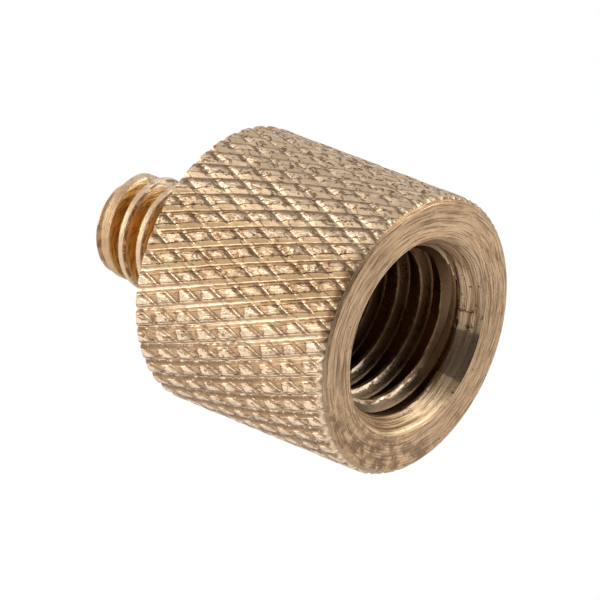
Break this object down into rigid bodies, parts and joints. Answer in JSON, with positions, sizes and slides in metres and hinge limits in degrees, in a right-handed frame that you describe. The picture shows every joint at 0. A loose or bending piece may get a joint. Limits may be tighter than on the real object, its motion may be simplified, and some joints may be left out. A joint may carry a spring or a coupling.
{
  "type": "tripod thread adapter",
  "caption": "Turned brass thread adapter: a knurled barrel with a small threaded stud at one end and a larger threaded, countersunk socket at the other.",
  "frame": {"origin": "centre of the socket's flat end face, on which the part stands", "axes": "+Z along the turning axis, from the socket's face towards the stud's tip; X and Y lie in the socket's face"},
  "size_m": [0.0154, 0.0154, 0.0205],
  "materials": {
    "brass": "bare turned brass, satin on the faces, with a rolled diamond knurl and light staining"
  },
  "bodies": {
    "root": {"thread_adapter": "brass"}
  },
  "joints": []
}
